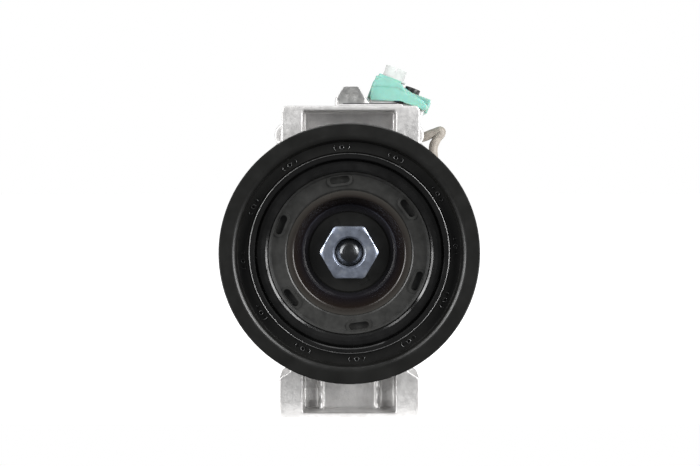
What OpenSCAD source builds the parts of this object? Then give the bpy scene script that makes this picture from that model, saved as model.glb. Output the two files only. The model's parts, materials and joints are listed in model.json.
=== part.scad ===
// Clutchless variable-displacement refrigerant compressor with a damped
// ribbed-belt pulley.  Shaft axis along Y, pulley towards -Y, Z up.  The
// origin is on the shaft axis at the middle of the belt band.  Depths in
// the modules are counted from the front face of the pulley, backwards.

/* [Pulley] */
// Outside radius of the belt pulley rim
pulley_r = 55; // [45:0.5:70]
// Width of the pulley rim along the shaft
pulley_w = 28; // [22:0.5:36]
// Number of belt grooves
groove_n = 6; // [4:1:7]
// Distance between neighbouring belt grooves
groove_pitch = 3.56; // [2:0.01:5]
// Depth of a belt groove
groove_h = 2.8; // [1.5:0.1:3.2]
// Number of staking marks round the damper groove
stake_n = 12; // [6:1:18]
// Number of windows in the damper cover
window_n = 6; // [3:1:8]

/* [Nut and hub] */
// Distance across the flats of the hub nut
nut_af = 22.2; // [18:0.1:27]
// Height of the hub nut
nut_h = 5.3; // [4:0.1:9]
// Radius of the raised disc of the hub
hub_r = 17.6; // [14:0.1:18.2]

/* [Housing] */
// Outside radius of the crankcase
case_r = 59.2; // [57.5:0.1:62]
// Radius of the circle of through bolts
bolt_pcr = 60; // [59.5:0.1:62]
// Half width of the mounting ears
ear_x = 31.2; // [24:0.1:40]
// Height of the upper ears above the shaft axis
ear_top = 63.5; // [60:0.1:70]
// Depth of the lower ears below the shaft axis
ear_low = 74.8; // [66:0.1:80]
// Radius of the holes through the ears
ear_hole_r = 4.25; // [3:0.05:6]
// Thickness of the skin that closes the ear pockets
ear_skin = 2.2; // [1.5:0.1:5]

/* [Pumping parts] */
// Number of pistons
piston_n = 7; // [5:1:7]
// Radius of the circle on which the pistons lie
piston_pcr = 39; // [38:0.1:39.4]
// Radius of a cylinder bore
bore_r = 15.5; // [13:0.1:15.6]
// Radius of the swash plate
plate_r = 45; // [43:0.1:45.5]
// Thickness of the swash plate running face
plate_t = 6; // [5:0.1:6.4]
// Largest tilt of the swash plate in degrees
tilt_max = 16; // [8:0.5:16]

/* [Ports] */
// Lean of the port pad away from vertical in degrees
port_lean = 20.6; // [0:0.1:40]
// Radius of the suction port
suction_r = 7.2; // [5:0.1:7.4]
// Radius of the discharge port
discharge_r = 6; // [4:0.1:6.2]
// Radius of the core of the hose-block thread
thread_r = 3.7; // [2.5:0.05:3.9]

/* [Hidden] */
$fn = 72;
fp = 14;
c0 = 107;          // depth of the swash plate centre at rest
crown = 162.2;     // depth of the piston crowns at rest
bl0 = 119;         // front face of the cylinder block
bl1 = 162.5;       // rear face of the cylinder block
hd0 = 166.9;       // front face of the rear head
pin_z = 55.5;      // height of the upper ear holes
low_z = -66.2;      // height of the lower ear holes
shoe_r = 8.5;
ps = 1.105;         // enlargement of the port block about its middle
bolt_a = [60, 120, 225, 247, 293, 315];  // angles of the through bolts
dowel_a = [30, 200];                // angles of the dowel pins
groove_c = pulley_w / 2;

// ---- helpers --------------------------------------------------------
module at(d) translate([0, d - fp, 0]) rotate([-90, 0, 0]) children();
module cyl(d0, d1, r) at(d0) cylinder(h = d1 - d0, r = r);
module tube(d0, d1, ro, ri) difference() {
  cyl(d0, d1, ro); cyl(d0 - 1, d1 + 1, ri); }
module rev(p) at(0) rotate_extrude($fn = 96) polygon(p);
module rim(d, r, a) at(d) rotate([0, 0, -a]) translate([r, 0, 0]) children();
module rcyl(d0, d1, r, pr, a) rim(d0, pr, a) cylinder(h = d1 - d0, r = r);
module bx(x0, x1, d0, d1, z0, z1)
  translate([x0, d0 - fp, z0]) cube([x1 - x0, d1 - d0, z1 - z0]);
module prism(d0, d1, p) translate([0, d1 - fp, 0]) rotate([90, 0, 0])
  linear_extrude(d1 - d0) polygon(p);
module xcyl(x0, x1, r, d, z) translate([x0, d - fp, z]) rotate([0, 90, 0])
  cylinder(h = x1 - x0, r = r);
module padf(u, d, v) translate([0, 188 - fp, 1.2]) scale(ps)
  rotate([0, port_lean, 0]) translate([u, d - 188, v]) children();
module flange2d(hole = 3.2) difference() {
  union() {
    circle(r = case_r);
    for (a = bolt_a) rotate(-a) translate([bolt_pcr, 0]) circle(r = 6.2);
  }
  for (a = bolt_a) rotate(-a) translate([bolt_pcr, 0]) circle(r = hole);
}
module bolt_holes(d0, d1, r) for (a = bolt_a)
  rcyl(d0, d1, r, bolt_pcr, a);
module slot2d(l, w) union() {
  square([l - w, w], center = true);
  for (s = [-1, 1]) translate([s * (l - w) / 2, 0]) circle(d = w, $fn = 32);
}

// ---- rotor ----------------------------------------------------------
function arc(cx, cy, r, a0, a1, n) =
  [for (i = [0:n]) let (a = a0 + (a1 - a0) * i / n)
    [cx + r * cos(a), cy + r * sin(a)]];
function groove(c) = [[pulley_r - 0.8, c - 1.3],
  [pulley_r - 0.8 - groove_h, c - 0.35],
  [pulley_r - 0.8 - groove_h, c + 0.35], [pulley_r - 0.8, c + 1.3]];
band = groove_n * groove_pitch / 2;
rim_pts = concat(
  [[pulley_r - 0.5, 0], [pulley_r, 0.5], [pulley_r, groove_c - band - 0.9],
   [pulley_r - 0.8, groove_c - band - 0.1]],
  [for (k = [0:groove_n - 1]) each
    groove(groove_c + (k - (groove_n - 1) / 2) * groove_pitch)],
  [[pulley_r - 0.8, groove_c + band + 0.1], [pulley_r, groove_c + band + 0.9],
   [pulley_r, pulley_w - 0.5], [pulley_r - 0.5, pulley_w],
   [49, pulley_w], [48.4, 22.6], [47.8, 22], [32.1, 22], [31.5, 22.6],
   [31.5, 41.4], [27.5, 41.4], [27.5, 22.2], [26.2, 22.2], [26.2, 17.4],
   [27.2, 16.6], [42.6, 16.6], [42.6, 5.4], [43, 5], [47.1, 5], [47.5, 4.6]],
  arc(50, 2.5, 2.5, 180, 270, 8));

module pulley() color([0.06, 0.06, 0.065]) difference() {
  rev(rim_pts);
  for (k = [0:stake_n - 1]) let (a = 4 + k * 360 / stake_n) {
    rcyl(4.4, 6.1, 0.75, 45, a);
    for (s = [-1, 1]) rim(4.4, 45, a + s * 3.9)
      translate([-0.3, -1, 0]) cube([0.6, 2, 1.2]);
  }
}
module damper_ring() color([0.08, 0.08, 0.085])
  rev([[40, 2.5], [40.4, 2.1], [41.7, 1.9], [42.5, 2.7], [42.5, 16.6],
       [41, 16.6], [40, 15.6]]);
module damper_rubber() color([0.05, 0.05, 0.05])
  rev([[34.8, 5.6], [35.6, 5], [37.3, 4.7], [39, 5], [40, 5.8],
       [40, 15.6], [39, 16.6], [34.8, 16.6]]);
module damper_cover() color([0.12, 0.12, 0.12]) difference() {
  union() {
    rev([[26.6, 9.6], [27.4, 9], [33.2, 8.2], [33.8, 7.4], [34.4, 7.2],
         [34.8, 7.6], [34.8, 16.6], [26.6, 16.6]]);
    for (k = [0:window_n - 1]) rim(8.05, 31.3, 97.5 - k * 360 / window_n)
      rotate([0, 0, 90]) linear_extrude(1.5) slot2d(11, 5);
  }
  for (k = [0:window_n - 1]) rim(7, 31.3, 97.5 - k * 360 / window_n)
    rotate([0, 0, 90]) linear_extrude(3.4) slot2d(8.6, 3);
}
module limiter_dish() color([0.14, 0.13, 0.12])
  rev(concat([[26.6, 9.2], [24.8, 9.2]],
    arc(24.8, 10.7, 1.5, 270, 200, 5), [[21, 14.8]],
    arc(18.4, 14.6, 2.9, 0, 90, 6), [[8.2, 17.5], [8.2, 19.3], [18.4, 19.3]],
    arc(18.4, 14.6, 4.7, 90, 4, 6), [[25.2, 11.2], [26.6, 11.2]]));
module drive_hub() color([0.1, 0.1, 0.1]) difference() {
  union() {
    rev([[6.05, 16.8], [hub_r - 0.5, 16.8], [hub_r, 17.1], [hub_r, 17.5],
         [8.1, 17.5], [8.1, 26], [6.05, 26]]);
  }
  for (a = [117.5, 297.5]) rim(16.2, 13.8, a)
    translate([-1.4, -2.3, 0]) cube([2.8, 4.6, 1]);
}
module shaft_nut() color([0.62, 0.66, 0.74]) difference() {
  intersection() {
    at(16.8 - nut_h)
      cylinder(h = nut_h, r = nut_af / 2 / cos(30), $fn = 6);
    rev([[0, 16.8 - nut_h], [11, 16.8 - nut_h], [12.65, 17.3 - nut_h],
         [12.65, 16.8], [0, 16.8]]);
  }
  rev([[0, 15.6 - nut_h], [7.0, 16.4 - nut_h], [6.1, 17.4 - nut_h],
       [6.1, 17], [0, 17]]);
}
module drive_shaft() color([0.45, 0.45, 0.46])
  rev(concat(arc(0, 20.9, 8.4, 270, 313, 6), [[6, 15.4], [6, 26],
    [7.2, 26], [7.2, 27], [8.5, 28], [8.5, 128], [7.5, 129], [7.5, 149],
    [6.8, 150], [0, 150]]));
module lug_plate() color([0.5, 0.5, 0.5]) {
  difference() {
    union() {
      rev([[8.5, 60], [36.5, 60], [38, 61.5], [38, 68], [36, 70], [8.5, 70]]);
      for (s = [-1, 1]) bx(s > 0 ? 10.4 : -13.4, s > 0 ? 13.4 : -10.4,
        68, 83, 17, 26);
    }
    bx(-10.4, 10.4, 59, 71, 11.6, 28);
    for (a = [225, 270, 315]) rcyl(63, 71, 5, 27, a);
  }
}
module race(d0, d1, ro, ri) difference() {
  tube(d0, d1, ro, ri);
  for (d = [27.2, 35.2]) at(d) rotate_extrude() translate([22.5, 0])
    circle(r = 3.1, $fn = 48);
}
module bearing_outer_race() color([0.6, 0.6, 0.6])
  race(22.2, 40.2, 27.5, 24.2);
module bearing_inner_race() color([0.6, 0.6, 0.6])
  race(22.2, 40.2, 20.8, 17.5);
module bearing_seals() color([0.1, 0.08, 0.06]) {
  tube(22.6, 23.2, 24.2, 21); tube(39.2, 39.8, 24.2, 21); }
module bearing_balls() color([0.75, 0.75, 0.76])
  for (d = [27.2, 35.2], k = [0:11]) rim(d, 22.5, k * 30 + 15)
    sphere(r = 3, $fn = 48);
module bearing_cage() color([0.3, 0.25, 0.15]) difference() {
  tube(24, 38.4, 23.1, 21.9);
  for (d = [27.2, 35.2], k = [0:11]) rcyl2(d, k * 30 + 15);
}
module rcyl2(d, a) rim(d, 20, a) rotate([0, 90, 0])
  cylinder(h = 5, r = 3.06, $fn = 48);

// ---- front housing --------------------------------------------------
module pulley_snap_ring() color([0.25, 0.25, 0.26]) difference() {
  tube(20.9, 22.1, 19.6, 16.6); bx(-3, 3, 20, 23, 14, 21); }
ear_l = 1.4 - ear_x;
up_ear = [[-40, 34], [ear_l, 47.5], [ear_l, ear_top - 2.4],
  [ear_l + 0.5, ear_top - 0.9], [ear_l + 1.8, ear_top],
  [ear_x - 1.8, ear_top], [ear_x - 0.5, ear_top - 0.9],
  [ear_x, ear_top - 2.4], [ear_x, 47.5], [40, 34]];
up_lug = [[ear_l, 38], [ear_l, ear_top - 2.4],
  [ear_l + 0.5, ear_top - 0.9], [ear_l + 1.8, ear_top],
  [ear_x - 1.8, ear_top], [ear_x - 0.5, ear_top - 0.9],
  [ear_x, ear_top - 2.4], [ear_x, 38]];
low_lug = [[-26.2, -36], [-26.2, -53.9], [-ear_x, -57],
  [-ear_x, -ear_low + 2.2], [-ear_x + 0.7, -ear_low + 0.7],
  [-ear_x + 2.2, -ear_low], [ear_x - 2.2, -ear_low],
  [ear_x - 0.7, -ear_low + 0.7], [ear_x, -ear_low + 2.2],
  [ear_x, -57], [26.2, -53.9], [26.2, -36]];
module ear_pair(d0, d1, dp) difference() {
  union() {
    prism(d0, d1, up_lug);
    prism(d0 + 11, d1, up_ear);
    prism(d0, d1, low_lug);
  }
  bx(-20.4, 20.4, d0 - 1, dp, 47.5, ear_top - ear_skin);
  difference() {
    bx(-20.6, 20.6, d0 - 1, dp, -ear_low + ear_skin, -45);
    for (s = [-1, 1]) bx(s * 13 - 0.9, s * 13 + 0.9, dp - 5, dp + 1,
      -ear_low, -44);
  }
  xcyl(-ear_x - 1, ear_x + 1, ear_hole_r, d0 + 8, pin_z);
  xcyl(-ear_x - 1, ear_x + 1, ear_hole_r, d0 + 8, low_z);
}
module front_housing() color([0.7, 0.7, 0.71]) difference() {
  union() {
    rev([[0, 20.2], [17, 20.2], [17.5, 20.7], [17.5, 40.2],
      [21, 40.2], [21, 43], [33.4, 43], [34, 43.6], [53, 51],
      [56.2, 53.6], [57.2, 55.4], [case_r - 0.5, 94], [0, 94]]);
    at(94) linear_extrude(bl0 - 94) flange2d(3.05);
    ear_pair(31, 58, 46);
    bx(-6, 25, 66, 112, 40, ear_top + 2.3);
    for (s = [-1, 1]) bx(s * 30 - 1.5, s * 30 + 1.5, 56, 94, -54, 54);
    for (a = [150, 210, -30, 30]) at(54) rotate([0, 0, a])
      translate([20, -1.6, 0]) cube([38, 3.2, 40]);
    at(82) rotate([0, 0, 105]) rotate([0, 90, 0])
      cylinder(h = case_r + 4, r = 9);
  }
  rev([[0, 40], [8.8, 40], [8.8, 36.5], [14, 36.5], [14, 24.5], [14.9, 24.5],
    [14.9, 23.3], [14, 23.3], [14, 20.8], [14.7, 20.1], [14.7, 19],
    [0, 19]]);
  tube(20.9, 22.1, 19, 16.6);
  rev([[0, 57], [12.5, 57], [12.5, 39], [0, 39]]);
  rev([[0, 57], [50, 57], [55.2, 61], [55.2, bl0 + 1], [0, bl0 + 1]]);
  at(82) rotate([0, 0, 105]) translate([40, 0, 0]) rotate([0, 90, 0])
    cylinder(h = case_r, r = 5.05);
}
module shaft_seal() color([0.08, 0.08, 0.09])
  rev([[8.58, 31], [9.4, 29.4], [11, 27.5], [11.6, 25], [14, 25],
    [14, 36.3], [9.4, 36.3], [9.4, 35.3], [12.8, 35.3], [12.8, 29],
    [12.2, 28.6], [10.4, 31.2], [8.9, 32.6], [8.58, 32]]);
module seal_snap_ring() color([0.3, 0.3, 0.3]) difference() {
  tube(23.4, 24.4, 14.85, 12); bx(-2.5, 2.5, 23, 25, 10, 16); }
module front_radial_bearing() color([0.7, 0.7, 0.72]) {
  tube(41, 55, 12.5, 11.5);
  for (k = [0:17]) rcyl(42, 54, 1.42, 9.99, k * 20);
}
module front_thrust_bearing() color([0.7, 0.7, 0.72]) {
  tube(57, 58, 26, 16);
  for (k = [0:17]) at(58.9) rotate([0, 0, k * 20]) translate([17, 0, 0])
    rotate([0, 90, 0]) cylinder(h = 8, r = 0.85, $fn = 24);
}
module case_seal() color([0.1, 0.1, 0.1]) tube(bl0, bl0 + 1.5, 56.4, 55.3);
module oil_plug() color([0.55, 0.56, 0.6]) at(82) rotate([0, 0, 105])
  rotate([0, 90, 0]) {
    translate([0, 0, case_r + 5]) cylinder(h = 5,
      r = 13 / 2 / cos(30), $fn = 6);
    translate([0, 0, 55.6]) cylinder(h = case_r + 5 - 55.6, r = 5);
  }
module oil_plug_washer() color([0.7, 0.45, 0.25]) at(82)
  rotate([0, 0, 105]) rotate([0, 90, 0]) translate([0, 0, case_r + 4])
  difference() { cylinder(h = 1, r = 7.4);
    translate([0, 0, -1]) cylinder(h = 3, r = 5.05); }
module nameplate() color([0.12, 0.12, 0.13])
  bx(-3.1, 22.4, 72, 108, ear_top + 2.3, ear_top + 2.9);

// ---- cylinder block -------------------------------------------------
function pang(k) = 90 + k * 360 / piston_n;
module cylinder_block() color([0.68, 0.68, 0.69]) difference() {
  union() {
    at(bl0) linear_extrude(bl1 - bl0) flange2d(3.2);
    tube(bl0 + 0.8, bl0 + 7, case_r + 0.4, 57);
    difference() {
      prism(126, 151, low_lug);
      bx(-20.3, 20.3, 125, 141, -ear_low + ear_skin, -61);
    }
  }
  bolt_holes(bl0 - 1, bl1 + 1, 3.2);
  for (k = [0:piston_n - 1]) rcyl(bl0 - 1, bl1 + 1, bore_r, piston_pcr,
    pang(k));
  rev([[0, bl0 - 1], [17, bl0 - 1], [17, 127], [11.5, 127], [11.5, 151],
    [4, 153], [4, bl1 + 1], [0, bl1 + 1]]);
  xcyl(-ear_x - 1, ear_x + 1, ear_hole_r, 134, low_z);
  tube(bl0 - 0.5, bl0 + 1.6, 56.5, 55.25);
  for (a = dowel_a) {
    rcyl(bl1 - 5, bl1 + 1, 1.55, 57.2, a);
  }
}
module rear_radial_bearing() color([0.7, 0.7, 0.72]) {
  tube(130, 147, 11.5, 10.5);
  for (k = [0:15]) rcyl(131, 146, 1.42, 9, k * 22.5);
}
module dowel_pins() color([0.6, 0.6, 0.62]) for (a = dowel_a) {
  rcyl(bl1 - 4.8, hd0 + 4.8, 1.5, 57.2, a);
}
module plate2d(sr, dr, holes = 1) difference() {
  flange2d(3.2);
  for (k = [0:piston_n - 1]) rotate(-pang(k)) {
    translate([46, 0]) circle(r = sr);
    translate([31, 0]) circle(r = dr);
  }
  for (a = dowel_a) rotate(-a) translate([57.2, 0]) circle(r = 1.55);
  circle(r = 2.55);
}
module head_gasket() color([0.2, 0.2, 0.22]) at(bl1) linear_extrude(0.5)
  difference() {
    flange2d(3.2);
    for (k = [0:piston_n - 1]) rotate(-pang(k)) translate([piston_pcr, 0])
      circle(r = bore_r + 0.5);
    for (a = dowel_a) rotate(-a) translate([57.2, 0]) circle(r = 1.55);
    circle(r = 5);
  }
module suction_reeds() color([0.6, 0.62, 0.65]) at(bl1 + 0.5)
  linear_extrude(0.3) difference() {
    flange2d(3.2);
    for (k = [0:piston_n - 1]) rotate(-pang(k)) {
      translate([31, 0]) circle(r = 3.4);
      translate([46, 0]) difference() {
        circle(r = 6.6); circle(r = 5.2);
        translate([-7, -3]) square([7, 6]);
      }
    }
    for (a = dowel_a) rotate(-a) translate([57.2, 0]) circle(r = 1.55);
    circle(r = 2.55);
  }
module valve_plate() color([0.45, 0.45, 0.47]) at(bl1 + 0.8)
  linear_extrude(3) plate2d(4.2, 3);
module star2d(w, r) difference() {
  union() {
    circle(r = 19);
    for (k = [0:piston_n - 1]) rotate(-pang(k)) {
      translate([10, -w]) square([r - 10, 2 * w]);
      translate([r, 0]) circle(r = w);
    }
  }
  circle(r = 2.55);
}
module discharge_reeds() color([0.6, 0.62, 0.65]) at(bl1 + 3.8)
  linear_extrude(0.3) star2d(4, 31);
module reed_retainer() color([0.5, 0.5, 0.5]) {
  at(bl1 + 4.1) linear_extrude(1.5) star2d(3.6, 31);
  rev([[0, bl1 + 0.5], [2.5, bl1 + 0.5], [2.5, bl1 + 5.6], [5, bl1 + 5.6],
    [4, bl1 + 7.4], [0, bl1 + 7.4]]);
}
module rear_gasket() color([0.2, 0.2, 0.22]) at(bl1 + 3.8)
  linear_extrude(0.6) difference() {
    flange2d(3.2);
    circle(r = 35.6);
    difference() {
      circle(r = 54); circle(r = 37.9);
      for (k = [0:piston_n - 1]) rotate(-pang(k) + 180 / piston_n)
        translate([36, -1.5]) square([20, 3]);
    }
    for (a = dowel_a) rotate(-a) translate([57.2, 0]) circle(r = 1.55);
  }

// ---- rear head ------------------------------------------------------
module rear_head() color([0.7, 0.7, 0.71]) difference() {
  union() {
    at(hd0) linear_extrude(13) flange2d(3.2);
    rev([[0, hd0 + 2], [54, hd0 + 2], [54, 179], [52.6, 184], [50, 200],
         [48.5, 204], [45, 206.5], [0, 206.5]]);
    padf(-13.3, 169.6, 40) cube([26.6, 39.4, 28.8]);
    bx(-7.7, 9.5, hd0, 184.5, 48, 73.8);
    translate([0.9, 0, 72.4]) cyl(hd0, 184.5, 6.6);
    xcyl(18, 52, 15, 190, -20);
    for (a = [30, 150, 210, 330]) at(203) rotate([0, 0, -a])
      translate([14, -1.5, 0]) cube([31, 3, 5]);
    cyl(205, 209.5, 11);
    bx(15, 33, 200, 209, 18, 36);
    bx(44, 52, 188, 198, 12, 21);
  }
  cyl(hd0 - 1, 188, 35.6);
  cyl(187, 201, 17.5);
  tube(hd0 - 1, 176, 54 - 0.8, 37.9);
  tube(175, 186, 46, 37.9);
  padf(-6.4, 177, 40) cylinder(h = 32, r = suction_r / ps);
  padf(-6.4, 197.3, 11.5) cylinder(h = 62.5, r = discharge_r / ps);
  padf(-6.4, 187.4, 54) cylinder(h = 20, r = thread_r / ps);
  padf(2.4, 180.1, 45) cube([14, 32, 21.9]);
  translate([0.9, 0, 72.4]) cyl(hd0 - 1, 178, 4.45);
  xcyl(6, 53, 10, 190, -20);
  xcyl(51.9, 70, 13.9, 190, -20);
  bolt_holes(hd0 - 1, 181, 3.2);
  for (a = dowel_a) rcyl(hd0 - 1, hd0 + 5, 1.55, 57.2, a);
}
module through_bolts() color([0.5, 0.5, 0.52])
  for (a = bolt_a) {
    rcyl(101, 180.5, 3, bolt_pcr, a);
    rcyl(179.9, 181.1, 6, bolt_pcr, a);
    rim(180.8, bolt_pcr, a)
      cylinder(h = 5.7, r = 10 / 2 / cos(30), $fn = 6);
  }
module relief_valve() color([0.55, 0.56, 0.58]) translate([0.9, 0, 72.4]) {
  difference() {
    at(158.9) cylinder(h = 7, r = 13 / 2 / cos(30),
      $fn = 6);
    cyl(158, 159.2, 2);
  }
  cyl(165.9, 177, 4.4);
}
module relief_washer() color([0.7, 0.45, 0.25]) translate([0.9, 0, 72.4])
  tube(165.9, 166.9, 6.4, 4.45);
module control_valve() color([0.3, 0.3, 0.32]) difference() {
  union() {
    xcyl(8, 53.2, 9.9, 190, -20);
    xcyl(53.2, 60.2, 12.6, 190, -20);
    translate([54, 190 - fp - 3, -10]) cube([6, 8, 7]);
  }
  xcyl(6, 31, 3, 190, -20);
  for (x = [14, 22]) translate([x, 190 - fp, -31]) cylinder(h = 22, r = 1.6);
  for (x = [35, 43]) difference() {
    xcyl(x, x + 2.4, 14, 190, -20); xcyl(x - 1, x + 4, 8.6, 190, -20);
  }
  xcyl(59.4, 61, 5, 190, -20);
}
module valve_snap_ring() color([0.2, 0.2, 0.2]) difference() {
  xcyl(52, 53.1, 13.6, 190, -20); xcyl(51, 54, 10, 190, -20);
  translate([50, 190 - fp - 2, -36]) cube([5, 4, 9]); }
module valve_plunger() color([0.6, 0.6, 0.62]) {
  xcyl(9, 28, 2.94, 190, -20); }

// ---- lead -----------------------------------------------------------
lead_r = 2.65;
lead_pts = [[57, 177, -3], [57, 177, 5], [55.6, 179, 17], [51.2, 181, 33.6],
  [46.8, 182.3, 47.6], [51.9, 183.1, 56.2], [39.6, 184.4, 52.6],
  [31.2, 190, 52.8], [27.5, 198.4, 51.3], [24.4, 200.2, 44],
  [24.2, 199.4, 34]];
module seg(a, b) {
  v = b - a; l = norm(v);
  translate(a) rotate([0, acos(v[2] / l), atan2(v[1], v[0])])
    cylinder(h = l, r = lead_r, $fn = 32);
}
module control_lead() color([0.42, 0.4, 0.36]) {
  for (i = [0:len(lead_pts) - 2]) seg(lead_pts[i], lead_pts[i + 1]);
  for (i = [1:len(lead_pts) - 2]) translate(lead_pts[i])
    sphere(r = lead_r + 0.04, $fn = 32);
}
module lead_connector() color([0.1, 0.1, 0.1]) {
  translate([16, 195, 22]) cube([16, 9, 12]);
  translate([17.5, 203, 24]) cube([13, 7, 8]);
  translate([21, 195, 18.6]) cube([6, 6, 5]);
}
module lead_clip() color([0.12, 0.12, 0.12]) difference() {
  translate([52, 175, 14]) cube([7.6, 7.6, 5]);
  translate([55.8, 178.75, 8]) cylinder(h = 9, r = 3.1);
  translate([55.35, 179.12, 16.5]) cylinder(h = 6, r = 2.98);
}

// ---- swash mechanism ------------------------------------------------
module swash_sleeve() color([0.72, 0.6, 0.35]) at(c0) difference() {
  union() {
    intersection() {
      sphere(r = 14, $fn = 96);
      translate([0, 0, -9.2]) cylinder(h = 18.4, r = 20);
    }
    translate([0, 0, -11]) cylinder(h = 22, r = 10.2);
  }
  translate([0, 0, -12]) cylinder(h = 24, r = 8.56);
}
module swash_plate() color([0.55, 0.53, 0.48]) difference() {
  union() {
    rev([[0, c0 - 5.5], [20.4, c0 - 5.5], [21, c0 - 4.9], [21, c0 - 3],
      [plate_r - 0.6, c0 - 3], [plate_r, c0 - 2.4], [plate_r, c0 + 2.4],
      [plate_r - 0.6, c0 + 3], [21, c0 + 3], [21, c0 + 4.9],
      [20.4, c0 + 5.5], [0, c0 + 5.5]]);
    bx(-3, 3, c0 - 26, c0 - 2, 20, 26);
  }
  at(c0) sphere(r = 14.06, $fn = 96);
}
module shoes() color([0.66, 0.66, 0.68])
  for (k = [0:piston_n - 1], s = [-1, 1]) rim(c0, piston_pcr, pang(k))
    intersection() {
      sphere(r = shoe_r, $fn = 64);
      translate([0, 0, s > 0 ? 3.05 : -9.05]) cylinder(h = 6, r = 12);
    }
coil_r = 11.7;     // coil radius of the return spring
coil_w = 1.15;     // wire radius of the return spring
coil_p = 4.9;      // pitch of the return spring
module destroke_spring() color([0.5, 0.5, 0.5])
  translate([0, 70.6 - fp, 0]) rotate([-90, 0, 0])
    linear_extrude(height = 24.6, twist = -360 * 24.6 / coil_p,
      slices = 110, $fn = 10)
      polygon([for (i = [0:17]) let (t = i * 20,
        r = coil_r + coil_w * cos(t), q = coil_w * sin(t) * 360 / coil_p)
        [r * cos(q), r * sin(q)]]);
module piston(k) {
  a = pang(k);
  zc = piston_pcr * sin(a);
  dz = -zc * (1 - cos(tilt_max));
  color([0.74, 0.74, 0.75]) difference() {
    union() {
      difference() {
        rim(0, piston_pcr, a) rotate_extrude($fn = 96) polygon([[0, 128],
          [bore_r - 0.6, 128], [bore_r - 0.08, 128.6],
          [bore_r - 0.08, 153.6], [bore_r - 0.9, 153.6],
          [bore_r - 0.9, 155.2], [bore_r - 0.08, 155.2],
          [bore_r - 0.08, crown - 0.8], [bore_r - 0.8, crown], [0, crown]]);
        rim(127, piston_pcr, a) difference() {
          cylinder(h = 30, r = 12.4); cylinder(h = 30, r = 7);
          translate([0, -2, -1]) cube([13, 4, 32]);
          rotate([0, 0, 180]) translate([0, -2, -1]) cube([13, 4, 32]);
        }
      }
      rcyl(113.6, 130, 7, piston_pcr, a);
      rcyl(113.6, 118.6, 9, piston_pcr, a);
      rcyl(95.4, 100.4, 9, piston_pcr, a);
      intersection() {
        rcyl(90, 132, bore_r - 0.12, piston_pcr, a);
        union() {
          rim(95.4, piston_pcr, a) translate([7.8, -8, 0])
            cube([10, 16, 24.6]);
          rim(95.4, piston_pcr, a) translate([3, -6, 0])
            cube([9, 12, 5]);
          rim(113.6, piston_pcr, a) translate([3, -6, 0])
            cube([9, 12, 5]);
          rim(117, piston_pcr, a) translate([2, -3, 0])
            cube([13, 6, 12]);
        }
      }
    }
    rim(c0, piston_pcr, a) rotate([0, 0, a]) {
      sphere(r = shoe_r + 0.1, $fn = 64);
      translate([0, -dz, 0]) sphere(r = shoe_r + 0.1, $fn = 64);
      translate([0, dz > 0 ? 0 : -dz, 0]) rotate([90, 0, 0])
        cylinder(h = abs(dz), r = shoe_r + 0.1);
    }
  }
}
module piston_1() piston(0);
module piston_2() piston(1);
module piston_3() piston(2);
module piston_4() piston(3);
module piston_5() piston(4);
module piston_6() piston(5);
module piston_7() piston(6);

// ---- shipping cap over the ports -----------------------------------
module port_cap() color([0.36, 0.78, 0.68]) difference() {
  union() {
    padf(-15, 170.5, 69.6) cube([14.3, 38.5, 3.6]);
    padf(-14.6, 171, 73.2) cube([13.5, 37.5, 3]);
    padf(-13.6, 172, 76.2) cube([11.6, 35.5, 1.5]);
    padf(-15, 170.5, 64.6) cube([1.6, 38.5, 5.1]);
    padf(-1, 174, 69.8) cube([15.5, 31, 4.7]);
    padf(13.5, 176, 67.6) cube([1.6, 27, 5.6]);
  }
  padf(-6.4, 187.4, 60) cylinder(h = 20, r = (thread_r + 0.3) / ps);
  padf(4.7, 187.4, 71.4) cylinder(h = 6, r = 2.6);
}
module port_cap_screw() color([0.66, 0.66, 0.68]) difference() {
  union() {
    padf(-6.4, 187.4, 77.8) cylinder(h = 0.8, r = 6.6);
    padf(-6.4, 187.4, 78.6) cylinder(h = 5.2, r = 5.35);
    padf(-6.4, 187.4, 54) cylinder(h = 23.9, r = (thread_r - 0.06) / ps);
  }
  padf(-7.0, 181, 82.2) cube([1.2, 13, 3]);
}
module port_cap_plug() color([0.07, 0.06, 0.06]) {
  padf(4.7, 187.4, 74.5) cylinder(h = 3, r = 3.8);
  padf(4.7, 187.4, 71.6) cylinder(h = 3, r = 2.5);
}
module port_seal() color([0.06, 0.06, 0.06]) difference() {
  union() {
    padf(-13, 169.8, 68.8) cube([26, 38.7, 0.8]);
    padf(-2.2, 168, 68.8) cube([4.6, 3, 0.8]);
    padf(-2.2, 168, 67) cube([4.6, 1.2, 2.6]);
  }
  padf(-6.4, 177, 66) cylinder(h = 6, r = (suction_r + 0.4) / ps);
  padf(-6.4, 197.3, 66) cylinder(h = 6, r = (discharge_r + 0.4) / ps);
  padf(-6.4, 187.4, 66) cylinder(h = 6, r = (thread_r + 0.1) / ps);
}

// ---- output ---------------------------------------------------------
pulley();
damper_ring();
damper_rubber();
damper_cover();
limiter_dish();
drive_hub();
shaft_nut();
drive_shaft();
lug_plate();
bearing_outer_race();
bearing_seals();
bearing_balls();
bearing_cage();
bearing_inner_race();
pulley_snap_ring();
front_housing();
shaft_seal();
seal_snap_ring();
front_radial_bearing();
front_thrust_bearing();
case_seal();
cylinder_block();
rear_radial_bearing();
head_gasket();
suction_reeds();
valve_plate();
discharge_reeds();
reed_retainer();
rear_gasket();
rear_head();
through_bolts();
dowel_pins();
relief_valve();
relief_washer();
control_valve();
valve_snap_ring();
valve_plunger();
control_lead();
lead_connector();
lead_clip();
oil_plug();
oil_plug_washer();
nameplate();
swash_sleeve();
swash_plate();
shoes();
destroke_spring();
piston_1();
piston_2();
piston_3();
piston_4();
piston_5();
piston_6();
piston_7();
port_cap();
port_cap_screw();
port_cap_plug();
port_seal();
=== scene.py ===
import json
import math
import bpy
import bmesh
from mathutils import Vector, Matrix


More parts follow.
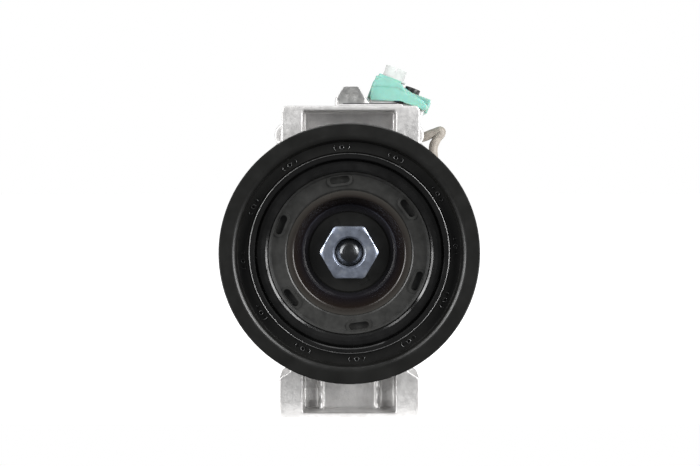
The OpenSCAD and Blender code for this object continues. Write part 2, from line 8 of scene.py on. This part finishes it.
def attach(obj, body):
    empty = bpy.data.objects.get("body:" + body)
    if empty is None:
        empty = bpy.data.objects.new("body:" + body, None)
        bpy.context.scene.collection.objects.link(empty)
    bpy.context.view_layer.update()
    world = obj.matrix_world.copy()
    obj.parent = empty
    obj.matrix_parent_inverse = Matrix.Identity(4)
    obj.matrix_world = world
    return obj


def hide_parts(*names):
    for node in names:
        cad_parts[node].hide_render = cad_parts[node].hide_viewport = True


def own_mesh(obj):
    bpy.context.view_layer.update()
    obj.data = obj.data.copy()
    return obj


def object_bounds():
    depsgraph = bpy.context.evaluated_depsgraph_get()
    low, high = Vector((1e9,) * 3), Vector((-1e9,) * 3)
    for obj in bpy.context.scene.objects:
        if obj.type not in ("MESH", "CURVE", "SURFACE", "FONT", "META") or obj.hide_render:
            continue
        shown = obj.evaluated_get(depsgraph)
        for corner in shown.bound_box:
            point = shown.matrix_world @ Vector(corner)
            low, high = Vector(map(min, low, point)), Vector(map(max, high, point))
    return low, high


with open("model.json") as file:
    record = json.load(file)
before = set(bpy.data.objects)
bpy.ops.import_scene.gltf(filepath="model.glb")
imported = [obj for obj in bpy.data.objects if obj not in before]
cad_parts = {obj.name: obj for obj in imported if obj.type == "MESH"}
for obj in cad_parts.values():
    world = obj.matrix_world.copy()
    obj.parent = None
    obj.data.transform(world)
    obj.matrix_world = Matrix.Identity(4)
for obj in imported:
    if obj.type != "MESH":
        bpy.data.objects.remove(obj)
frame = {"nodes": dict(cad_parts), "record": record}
cad_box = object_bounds()
NODES = frame["nodes"]
MM = 0.001
FRONT = 14.0      # mm from the pulley's front face back to the frame's origin
STAKES = 12       # staking marks round the pulley groove


# Depths named d are millimetres behind the pulley's front face; every other
# length in a profile or outline is in millimetres too.

# ---- geometry helpers ---------------------------------------------------
def link(name, mesh, smooth=True):
    ob = bpy.data.objects.new(name, mesh)
    bpy.context.scene.collection.objects.link(ob)
    if smooth:
        mesh.polygons.foreach_set("use_smooth", [True] * len(mesh.polygons))
    return ob


def mesh_of(name, verts, faces, smooth=True):
    me = bpy.data.meshes.new(name)
    me.from_pydata([Vector(v) * MM for v in verts], [], faces)
    me.update()
    return link(name, me, smooth)


def circle(radius, count):
    """Points of a circle about (0, 0)."""
    turns = [2 * math.pi * k / count for k in range(count)]
    return [(radius * math.cos(t), radius * math.sin(t)) for t in turns]


def polar(r, a, d):
    """The point at radius r and angle a about the shaft, at depth d."""
    return Vector((r * math.cos(a), d - FRONT, r * math.sin(a)))


def lathe(name, profile, seg=192, closed=True):
    """Turns a profile of (radius, depth) in mm about the shaft axis."""
    verts, faces = [], []
    n = len(profile)
    for k in range(seg):
        a = 2 * math.pi * k / seg
        verts += [polar(r, a, d) for r, d in profile]
    for k in range(seg):
        k2 = (k + 1) % seg
        for i in range(n if closed else n - 1):
            j = (i + 1) % n
            faces.append((k * n + i, k2 * n + i, k2 * n + j, k * n + j))
    ob = mesh_of(name, verts, faces)
    weld(ob)
    return ob


def weld(ob, dist=1e-6):
    """Merges points closer than dist metres and turns the faces outward."""
    bm = bmesh.new()
    bm.from_mesh(ob.data)
    bmesh.ops.remove_doubles(bm, verts=bm.verts, dist=dist)
    bmesh.ops.recalc_face_normals(bm, faces=bm.faces)
    bm.to_mesh(ob.data)
    bm.free()


def join(name, parts):
    """Makes one mesh of several and removes them."""
    bm = bmesh.new()
    for ob in parts:
        me = ob.data.copy()
        me.transform(ob.matrix_world)
        bm.from_mesh(me)
        bpy.data.meshes.remove(me)
    me = bpy.data.meshes.new(name)
    bm.to_mesh(me)
    bm.free()
    for ob in parts:
        bpy.data.objects.remove(ob)
    return link(name, me)


def apply_modifiers(ob):
    deps = bpy.context.evaluated_depsgraph_get()
    me = bpy.data.meshes.new_from_object(ob.evaluated_get(deps))
    ob.modifiers.clear()
    ob.data = me
    return ob


def finish_piece(ob, body, node, material):
    """Gives a piece its look, its body and the CAD node that it replaces, if any."""
    ob.data.materials.clear()
    ob.data.materials.append(material)
    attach(ob, body)
    if node:
        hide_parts(node)
    return ob


# ---- camera ---------------------------------------------------------------
ELEV = math.radians(3.5)
DIST = 0.6
RIM = Vector((0, -FRONT * MM, 0))
AIM = RIM + Vector((0.0003, 0, 0.0089))
cam_data = bpy.data.cameras.new("camera")
cam = bpy.data.objects.new("camera", cam_data)
bpy.context.scene.collection.objects.link(cam)
cam.location = RIM + Vector((0, -math.cos(ELEV), math.sin(ELEV))) * DIST
cam.rotation_mode = "QUATERNION"
cam.rotation_quaternion = (AIM - cam.location).to_track_quat("-Z", "Y")
cam_data.sensor_width = 36
cam_data.lens = 73.5
cam_data.clip_end = 30
bpy.context.scene.camera = cam


# ---- materials ------------------------------------------------------------
class Shader:
    """A Principled material whose colour, roughness and bump come from noise."""

    def __init__(self, name, color, rough, metal=0.0, **sockets):
        self.mat = bpy.data.materials.new(name)
        self.mat.use_nodes = True
        self.t = self.mat.node_tree
        self.bsdf = self.t.nodes["Principled BSDF"]
        self.bsdf.inputs["Base Color"].default_value = (*color, 1)
        self.bsdf.inputs["Roughness"].default_value = rough
        self.bsdf.inputs["Metallic"].default_value = metal
        for key, value in sockets.items():
            self.bsdf.inputs[key.replace("_", " ")].default_value = value
        self.coord = self.t.nodes.new("ShaderNodeTexCoord").outputs["Object"]
        self.color = color
        self.rough = rough

    def node(self, kind, **props):
        n = self.t.nodes.new(kind)
        for key, value in props.items():
            setattr(n, key, value)
        return n

    def wire(self, a, b):
        self.t.links.new(a, b)

    def noise(self, scale, detail=4.0, rough=0.55, stretch=(1, 1, 1)):
        mp = self.node("ShaderNodeMapping")
        mp.inputs["Scale"].default_value = stretch
        self.wire(self.coord, mp.inputs["Vector"])
        n = self.node("ShaderNodeTexNoise")
        n.inputs["Scale"].default_value = scale
        n.inputs["Detail"].default_value = detail
        n.inputs["Roughness"].default_value = rough
        self.wire(mp.outputs[0], n.inputs["Vector"])
        return n.outputs["Fac"]

    def ramp(self, fac, stops):
        r = self.node("ShaderNodeValToRGB")
        els = r.color_ramp.elements
        while len(els) > 1:
            els.remove(els[-1])
        els[0].position, els[0].color = stops[0][0], (*stops[0][1], 1)
        for pos, col in stops[1:]:
            els.new(pos).color = (*col, 1)
        self.wire(fac, r.inputs[0])
        return r.outputs["Color"]

    def mottle(self, scale, amount, **kw):
        """Varies the base colour by a share of itself."""
        lo = [c * (1 - amount) for c in self.color]
        hi = [min(1, c * (1 + amount)) for c in self.color]
        fac = self.noise(scale, **kw)
        self.wire(self.ramp(fac, [(0.3, lo), (0.7, hi)]),
                  self.bsdf.inputs["Base Color"])
        return self

    def vary_rough(self, scale, amount, **kw):
        rng = self.node("ShaderNodeMapRange")
        rng.inputs["From Min"].default_value = 0.3
        rng.inputs["From Max"].default_value = 0.7
        rng.inputs["To Min"].default_value = max(0.02, self.rough - amount)
        rng.inputs["To Max"].default_value = min(1, self.rough + amount)
        self.wire(self.noise(scale, **kw), rng.inputs["Value"])
        self.wire(rng.outputs[0], self.bsdf.inputs["Roughness"])
        return self

    def bump(self, layers):
        """layers: (height socket or noise scale, strength, distance in mm)."""
        last = None
        for src, strength, dist in layers:
            b = self.node("ShaderNodeBump")
            b.inputs["Strength"].default_value = strength
            b.inputs["Distance"].default_value = dist * MM
            self.wire(self.noise(src) if isinstance(src, (int, float)) else src,
                      b.inputs["Height"])
            if last:
                self.wire(last, b.inputs["Normal"])
            last = b.outputs["Normal"]
        self.wire(last, self.bsdf.inputs["Normal"])
        return self

    def turned(self, amount):
        """Stretches the highlights as on a face turned about the shaft."""
        self.bsdf.inputs["Anisotropic"].default_value = amount
        tan = self.node("ShaderNodeTangent", direction_type="RADIAL", axis="Y")
        self.wire(tan.outputs[0], self.bsdf.inputs["Tangent"])
        return self

    def radius(self):
        """Distance from the shaft axis, in metres."""
        sep = self.node("ShaderNodeSeparateXYZ")
        self.wire(self.coord, sep.inputs[0])
        com = self.node("ShaderNodeCombineXYZ")
        self.wire(sep.outputs["X"], com.inputs["X"])
        self.wire(sep.outputs["Z"], com.inputs["Z"])
        vec = self.node("ShaderNodeVectorMath", operation="LENGTH")
        self.wire(com.outputs[0], vec.inputs[0])
        return vec.outputs["Value"]


def cast_metal(name, color=(0.6, 0.592, 0.585), rough=0.48, metal=0.6):
    s = Shader(name, color, rough, metal)
    s.mottle(120, 0.16, detail=8, rough=0.7)
    s.vary_rough(420, 0.12)
    s.bump([(3200, 0.35, 0.1), (1100, 0.35, 0.22), (160, 0.25, 0.5)])
    return s.mat


def machined(name, color, rough, metal=1.0, stretch=(1, 1, 1), scale=900):
    s = Shader(name, color, rough, metal)
    s.mottle(220, 0.1)
    s.vary_rough(500, 0.08)
    s.bump([(s.noise(scale, stretch=stretch), 0.15, 0.05)])
    return s.mat


def plastic(name, color, rough, mottle=0.2, grain=0.12, **kw):
    s = Shader(name, color, rough, 0.0, **kw)
    s.mottle(300, mottle)
    s.vary_rough(260, 0.07)
    s.bump([(1800, grain, 0.05)])
    return s.mat


def satin_black():
    s = Shader("satin_black", (0.0065, 0.0065, 0.006), 0.33, 0.0)
    s.mottle(90, 0.25)
    s.vary_rough(140, 0.06)
    s.bump([(260, 0.1, 0.12), (1500, 0.06, 0.03)])
    return s.mat


def gloss_black():
    s = Shader("gloss_black", (0.005, 0.005, 0.005), 0.18, 0.0)
    s.mottle(90, 0.25)
    s.vary_rough(110, 0.08)
    s.bump([(90, 0.2, 0.25)])
    return s.mat


def rubber():
    s = Shader("rubber_black", (0.006, 0.006, 0.006), 0.2, 0.0)
    s.mottle(150, 0.5, detail=6)
    s.vary_rough(120, 0.12)
    s.bump([(85, 0.55, 0.5), (240, 0.2, 0.15)])
    return s.mat


def dish_black():
    """Oxide-dark metal with faint heat colours towards its outer wall."""
    s = Shader("dish_dark", (0.02, 0.018, 0.015), 0.24, 0.25)
    hue = s.ramp(s.radius(), [(0.0, (0.008, 0.008, 0.008)),
                              (0.0186, (0.008, 0.008, 0.009)),
                              (0.0197, (0.008, 0.007, 0.010)),
                              (0.0209, (0.034, 0.009, 0.005)),
                              (0.0222, (0.016, 0.009, 0.007)),
                              (0.0244, (0.014, 0.012, 0.01)),
                              (0.0252, (0.05, 0.047, 0.042))])
    s.wire(hue, s.bsdf.inputs["Base Color"])
    s.vary_rough(160, 0.06)
    s.bump([(300, 0.1, 0.08)])
    s.turned(0.5)
    return s.mat


def zinc_blue():
    s = Shader("zinc_plate", (0.3, 0.335, 0.42), 0.34, 0.85)
    fac = s.noise(190, detail=6, rough=0.7)
    s.wire(s.ramp(fac, [(0.3, (0.22, 0.24, 0.29)), (0.5, (0.3, 0.335, 0.42)),
                        (0.68, (0.42, 0.45, 0.5))]),
           s.bsdf.inputs["Base Color"])
    s.vary_rough(300, 0.1)
    s.bump([(500, 0.2, 0.1), (2600, 0.15, 0.05)])
    return s.mat


MAT = {
    "cast_alu": cast_metal("cast_alu"),
    "piston_alu": machined("piston_alu", (0.72, 0.72, 0.73), 0.3),
    "steel": machined("ground_steel", (0.3, 0.3, 0.31), 0.26),
    "bright_steel": machined("bright_steel", (0.5, 0.5, 0.49), 0.36, 0.9),
    "shaft_end": machined("shaft_end", (0.075, 0.078, 0.082), 0.24, 0.9),
    "dark_steel": machined("spring_steel", (0.12, 0.12, 0.13), 0.35),
    "zinc": zinc_blue(),
    "copper": machined("copper", (0.75, 0.36, 0.2), 0.35),
    "bronze": machined("bronze", (0.6, 0.42, 0.2), 0.35),
    "black_paint": satin_black(),
    "black_gloss": gloss_black(),
    "rubber": rubber(),
    "glint": plastic("stake_glint", (0.03, 0.03, 0.03), 0.12, 0.2, 0.05,
                     Specular_IOR_Level=1.0),
    # Lighter metal for the ring on the pulley groove's edge; it paints the highlight
    # there.
    "edge": machined("painted_edge_highlight", (0.2, 0.2, 0.2), 0.3, 0.9),
    "nylon": plastic("nylon_black", (0.022, 0.022, 0.021), 0.36, 0.3, 0.25),
    "dish_metal": dish_black(),
    "cage": plastic("cage_nylon", (0.4, 0.3, 0.14), 0.5),
    "gasket": plastic("gasket_grey", (0.08, 0.08, 0.085), 0.5),
    "black_plastic": plastic("black_plastic", (0.012, 0.011, 0.011), 0.4),
    "teal": plastic("teal_plastic", (0.2, 0.42, 0.36), 0.42, 0.06,
                    Subsurface_Weight=0.35, Subsurface_Scale=0.004),
    "grey_pin": plastic("grey_pin", (0.5, 0.51, 0.5), 0.6, 0.08, 0.6),
    "sleeve": plastic("lead_sleeve", (0.3, 0.27, 0.235), 0.5, 0.15, 0.5),
    "label": plastic("label_dark", (0.03, 0.03, 0.035), 0.4),
}
slots = {s["node"]: s["material_slot"] for s in frame["record"]["subparts"]}
for name, ob in NODES.items():
    ob.data.materials.clear()
    ob.data.materials.append(MAT[slots[name]])


# ---- moulded and cast skins ----------------------------------------------
def copy_node(node, name):
    me = NODES[node].data.copy()
    me.name = name
    ob = link(name, me)
    weld(ob, 2e-6)
    return ob


def body_of(node):
    for body, members in frame["record"]["behaviour"]["bodies"].items():
        if node in members:
            return body
    return "root"


def finish_as(node, ob):
    """Puts a piece in a CAD node's place, with the node's body and look."""
    return finish_piece(ob, body_of(node), node, MAT[slots[node]])


def round_over(ob, voxel, smooth, keep):
    """Rounds all edges of a solid; voxel in mm, keep is the share of faces left."""
    mod = ob.modifiers.new("remesh", "REMESH")
    mod.mode = "VOXEL"
    mod.voxel_size = voxel * MM
    mod.use_smooth_shade = True
    mod = ob.modifiers.new("soften", "SMOOTH")
    mod.factor = 0.5
    mod.iterations = smooth
    mod = ob.modifiers.new("thin", "DECIMATE")
    mod.ratio = keep
    return apply_modifiers(ob)


def skin(node, voxel, smooth, keep):
    """A cast skin: the CAD solid with all its edges rounded."""
    return finish_as(node, round_over(copy_node(node, node + "_skin"),
                                      voxel, smooth, keep))


def crisp(node, width):
    """A machined or moulded piece: small bevels on the CAD solid's sharp edges."""
    ob = copy_node(node, node + "_shape")
    bm = bmesh.new()
    bm.from_mesh(ob.data)
    bmesh.ops.dissolve_limit(bm, angle_limit=math.radians(1.5), verts=bm.verts,
                             edges=bm.edges, delimit=set())
    bm.to_mesh(ob.data)
    bm.free()
    mod = ob.modifiers.new("bevel", "BEVEL")
    mod.width = width * MM
    mod.segments = 2
    mod.limit_method = "ANGLE"
    mod.angle_limit = math.radians(32)
    mod.harden_normals = True
    return finish_as(node, apply_modifiers(ob))


skin("front_housing", voxel=0.55, smooth=5, keep=0.22)
skin("rear_head", voxel=0.8, smooth=4, keep=0.35)
skin("cylinder_block", voxel=0.8, smooth=4, keep=0.35)


# ---- shipping cap, its plug, the lead's connector, return spring -----------
def prism(name, outline, y0, y1):
    """A plate with an (x, z) outline, from y0 to y1."""
    n = len(outline)
    verts = [(x, y, z) for y in (y0, y1) for x, z in outline]
    faces = [tuple(range(n)), tuple(range(2 * n - 1, n - 1, -1))]
    faces += [(k, k + n, (k + 1) % n + n, (k + 1) % n) for k in range(n)]
    ob = mesh_of(name, verts, faces)
    bm = bmesh.new()
    bm.from_mesh(ob.data)
    bmesh.ops.recalc_face_normals(bm, faces=bm.faces)
    bm.to_mesh(ob.data)
    bm.free()
    return ob


# Outline of the cap's front wall, and of the thicker shoulder across its top.
APRON = [(17.2, 84.6), (13.4, 82.2), (12.1, 79.4), (10.9, 74.6), (11.2, 72.2),
         (27.3, 71.4), (35.7, 68.6), (41.1, 65.9), (42.2, 68.6), (39.4, 72.0),
         (36.4, 73.8), (31.2, 75.4), (29.6, 77.6), (28.2, 80.6), (24.0, 82.8)]
SILL = APRON[9:]
SHOULDER = [(17.2, 84.6), (13.4, 82.2), (12.3, 79.9), (21.0, 79.5), (26.6, 78.6),
            (29.6, 76.6), (28.2, 80.6), (24.0, 82.8)]
cap = join("port_cap_shape", [copy_node("port_cap", "port_cap_shape"),
                              prism("apron", APRON, 151.8, 153.5),
                              prism("sill", SILL, 153.2, 155.4),
                              prism("shoulder", SHOULDER, 151.2, 155.2)])
finish_as("port_cap", round_over(cap, voxel=0.32, smooth=12, keep=0.5))

# The return spring shortens towards its front seat as the sleeve comes forward; here it
# only gets a mesh of its own, and nothing shortens it.
spring = finish_as("destroke_spring", copy_node("destroke_spring", "return_spring"))
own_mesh(spring)

crisp("port_cap_plug", width=0.3)
crisp("lead_connector", width=0.6)


# ---- nut, relief hex and shaft end ---------------------------------------
def hexagon(name, flats, front, back, chamfer_r, slope, at=(0, 0), hole=None,
            edge=0.3):
    """A hexagon with the round chamfer of a turned nut, facing the pulley side.

    flats: width across flats; front, back: depths of its faces; at: (x, z).
    chamfer_r, slope: where the corners start to fall back, and how steeply.
    hole: (radius, chamfer radius), or None for a plain head with a dimple.
    """
    verts, faces = [], []
    n = 120
    corner = flats / 2 / math.cos(math.pi / 6)

    def ring(fn):
        base = len(verts)
        for k in range(n):
            a = 2 * math.pi * k / n
            r, d = fn(a)
            verts.append((r * math.cos(a) + at[0], d - FRONT,
                          r * math.sin(a) + at[1]))
        return base

    def side(a):
        """Radius of the hexagon at angle a, its corners cut a little."""
        from_middle = a % (math.pi / 3) - math.pi / 6
        return min(flats / 2 / math.cos(from_middle), corner - 0.28)

    def cone(a):
        """Radius and depth at which the side meets the chamfer."""
        r = side(a)
        return r, front + max(0.0, (r - chamfer_r)) * slope + edge * 0.6

    def face(a):
        """Radius of the flat front face."""
        return min(side(a) - edge, chamfer_r)

    rings = [ring(lambda a: (side(a), back)),
             ring(cone),
             ring(lambda a: (cone(a)[0] - edge * 0.5, cone(a)[1] - edge * 0.45)),
             ring(lambda a: (face(a), front)),
             ring(lambda a: (face(a) - 0.6, front))]
    if hole:
        inner = [(hole[1] + 0.15, front), (hole[1], front + 0.1),
                 (hole[0] + 0.1, front + 0.9), (hole[0], front + 1.1),
                 (hole[0], back)]
    else:
        inner = [(2.4, front), (1.9, front + 0.15), (0.3, front + 0.2)]
    rings += [ring(lambda a, point=point: point) for point in inner]
    for a, b in zip(rings, rings[1:]):
        for k in range(n):
            k2 = (k + 1) % n
            faces.append((a + k, a + k2, b + k2, b + k))
    if hole:
        a, b = rings[-1], rings[0]
        faces += [(a + k, a + (k + 1) % n, b + (k + 1) % n, b + k) for k in range(n)]
    else:
        faces += [tuple(rings[0] + k for k in reversed(range(n))),
                  tuple(rings[-1] + k for k in range(n))]
    ob = mesh_of(name, verts, faces)
    weld(ob, 1e-7)
    mod = ob.modifiers.new("edges", "EDGE_SPLIT")
    mod.split_angle = math.radians(24)
    return apply_modifiers(ob)


nut = hexagon("nut", flats=22.2, front=11.5, back=16.8, chamfer_r=11.0, slope=0.28,
              hole=(6.15, 6.9))
finish_piece(nut, "rotor", "shaft_nut", MAT["zinc"])

RELIEF_AT = (0.9, 72.4)     # x and z of the relief valve
relief_hex = hexagon("relief_hex", flats=13.4, front=158.9, back=165.9,
                     chamfer_r=7.25, slope=0.3, at=RELIEF_AT, edge=0.25)
thread = lathe("relief_thread", [(0, 165.8), (4.4, 165.8), (4.4, 176.6), (4.0, 177),
                                 (0, 177)], 48, closed=False)
thread.data.transform(Matrix.Translation((RELIEF_AT[0] * MM, 0, RELIEF_AT[1] * MM)))
relief = join("relief_valve_head", [relief_hex, thread])
finish_piece(relief, "housing", "relief_valve", MAT["bright_steel"])

NODES["drive_shaft"].data.materials[0] = MAT["shaft_end"]


# ---- lead ------------------------------------------------------------------
def smooth_path(points, steps=7):
    """A round path through the points (Catmull-Rom)."""
    pts = [Vector(p) for p in points]
    pts = [pts[0] * 2 - pts[1]] + pts + [pts[-1] * 2 - pts[-2]]
    out = []
    for i in range(1, len(pts) - 2):
        p0, p1, p2, p3 = pts[i - 1:i + 3]
        for k in range(steps):
            t = k / steps
            out.append(0.5 * ((2 * p1) + (p2 - p0) * t
                              + (2 * p0 - 5 * p1 + 4 * p2 - p3) * t * t
                              + (3 * p1 - p0 - 3 * p2 + p3) * t * t * t))
    out.append(pts[-2])
    return out


def sweep(name, path, radius, seg=20):
    """A round tube along a path; radius is a function of the share of its length."""
    verts, faces = [], []
    normal = Vector((0, 1, 0))
    n = len(path)
    for i, p in enumerate(path):
        tangent = (path[min(i + 1, n - 1)] - path[max(i - 1, 0)]).normalized()
        normal = (normal - tangent * normal.dot(tangent)).normalized()
        side = tangent.cross(normal)
        r = radius(i / (n - 1))
        for k in range(seg):
            a = 2 * math.pi * k / seg
            verts.append(p + (normal * math.cos(a) + side * math.sin(a)) * r)
    for i in range(n - 1):
        for k in range(seg):
            k2 = (k + 1) % seg
            faces.append((i * seg + k, i * seg + k2, (i + 1) * seg + k2,
                          (i + 1) * seg + k))
    faces += [tuple(reversed(range(seg))),
              tuple((n - 1) * seg + k for k in range(seg))]
    ob = mesh_of(name, verts, faces)
    weld(ob, 1e-7)
    return ob


# The lead's route from the control valve's plug over its tip to the connector.
LEAD = [(57, 177, -3), (57, 177, 5), (54.9, 179, 17), (48.6, 181, 33),
        (46.6, 182.2, 46.0), (48.4, 182.6, 51.4), (51, 183, 55.2),
        (50.6, 183.2, 56.5), (46.4, 183.6, 55.2), (39.6, 184.4, 52.6),
        (31.4, 190, 52.8), (27.4, 197.8, 50.8), (24.5, 199.9, 44),
        (24.2, 199.4, 34)]
lead = sweep("lead", smooth_path(LEAD), lambda t: 2.5 + 0.08 * math.sin(60 * t))
finish_piece(lead, "housing", "control_lead", MAT["sleeve"])


# ---- staking marks, and a ring painting the highlight on the groove's edge ---
def stake(angle):
    """A small ring between two brackets, swept in thin raised beads."""
    centre = polar(45, angle, 4.75)
    dot = [centre + Vector((x, 0, z)) for x, z in circle(0.85, 16)]
    beads = [sweep("mark", dot + dot[:2], lambda t: 0.24, 8)]
    for sgn in (-1, 1):
        bracket = [polar(43.9 + 2.2 * q / 6, angle + sgn * math.radians(
            3.4 + 0.9 * math.sin(math.pi * q / 6)), 4.8) for q in range(7)]
        beads.append(sweep("mark", bracket, lambda t: 0.2 * math.sin(
            math.pi * (0.08 + 0.84 * t)), 8))
    return beads


marks = [bead for k in range(STAKES)
         for bead in stake(math.radians(4 + 360 / STAKES * k))]
# A thin ring of lighter metal on the black edge at R 42.15 mm: a painted highlight,
# standing in for the glint along that edge.
bright_edge = lathe("ring", [(42.15 + x, 1.95 + y) for x, y in circle(0.22, 10)], 160)
finish_piece(join("bright_edges", [bright_edge]), "rotor", None, MAT["edge"])
finish_piece(join("stake_marks", marks), "rotor", None, MAT["glint"])


# ---- floor and light ------------------------------------------------------
# The white floor starts behind the pulley's front face, so that it doesn't light
# that face from below.
floor_z = cad_box[0].z / MM
floor = mesh_of("floor", [(x, y, floor_z) for x, y in
                          ((-3000, 4), (3000, 4), (3000, 5000), (-3000, 5000))],
                [(0, 1, 2, 3)], smooth=False)
white = Shader("floor_white", (0.8, 0.8, 0.8), 0.8)
white.mottle(3, 0.01)
white.bsdf.inputs["Emission Color"].default_value = (1, 1, 1, 1)
white.bsdf.inputs["Emission Strength"].default_value = 0.92
floor.data.materials.append(white.mat)

# The world is white where the camera sees it and dim where it lights the object.

world = bpy.data.worlds.new("studio")
bpy.context.scene.world = world
world.use_nodes = True
tree = world.node_tree
light = tree.nodes["Background"]
light.inputs["Color"].default_value = (0.97, 0.985, 1, 1)
light.inputs["Strength"].default_value = 0.13
seen = tree.nodes.new("ShaderNodeBackground")
seen.inputs["Color"].default_value = (1, 1, 1, 1)
seen.inputs["Strength"].default_value = 1.0
ray = tree.nodes.new("ShaderNodeLightPath")
mix = tree.nodes.new("ShaderNodeMixShader")
tree.links.new(ray.outputs["Is Camera Ray"], mix.inputs[0])
tree.links.new(light.outputs[0], mix.inputs[1])
tree.links.new(seen.outputs[0], mix.inputs[2])
tree.links.new(mix.outputs[0], tree.nodes["World Output"].inputs["Surface"])


OBJECT = Vector((0, 0.03, 0))     # where the lights point, in metres


def softbox(name, at, size, power):
    """A rectangular light in metres and watts, turned towards the object."""
    data = bpy.data.lights.new(name, "AREA")
    data.shape = "RECTANGLE"
    data.size, data.size_y = size
    data.energy = power
    ob = bpy.data.objects.new(name, data)
    ob.location = at
    ob.rotation_mode = "QUATERNION"
    ob.rotation_quaternion = (OBJECT - Vector(at)).to_track_quat("-Z", "Y")
    bpy.context.scene.collection.objects.link(ob)




softbox("key_left", (-0.9, -0.8, 0.85), (0.45, 0.8), 7)
softbox("key_right", (0.95, -0.75, 0.75), (0.45, 0.8), 13)
softbox("top_fill", (0, 0.1, 1.3), (1.1, 0.7), 5.5)
softbox("side_left", (-1.2, -0.75, 0.25), (0.6, 0.9), 20)
softbox("side_right", (1.2, -0.75, 0.25), (0.6, 0.9), 20)

bpy.context.scene.view_settings.view_transform = "Standard"
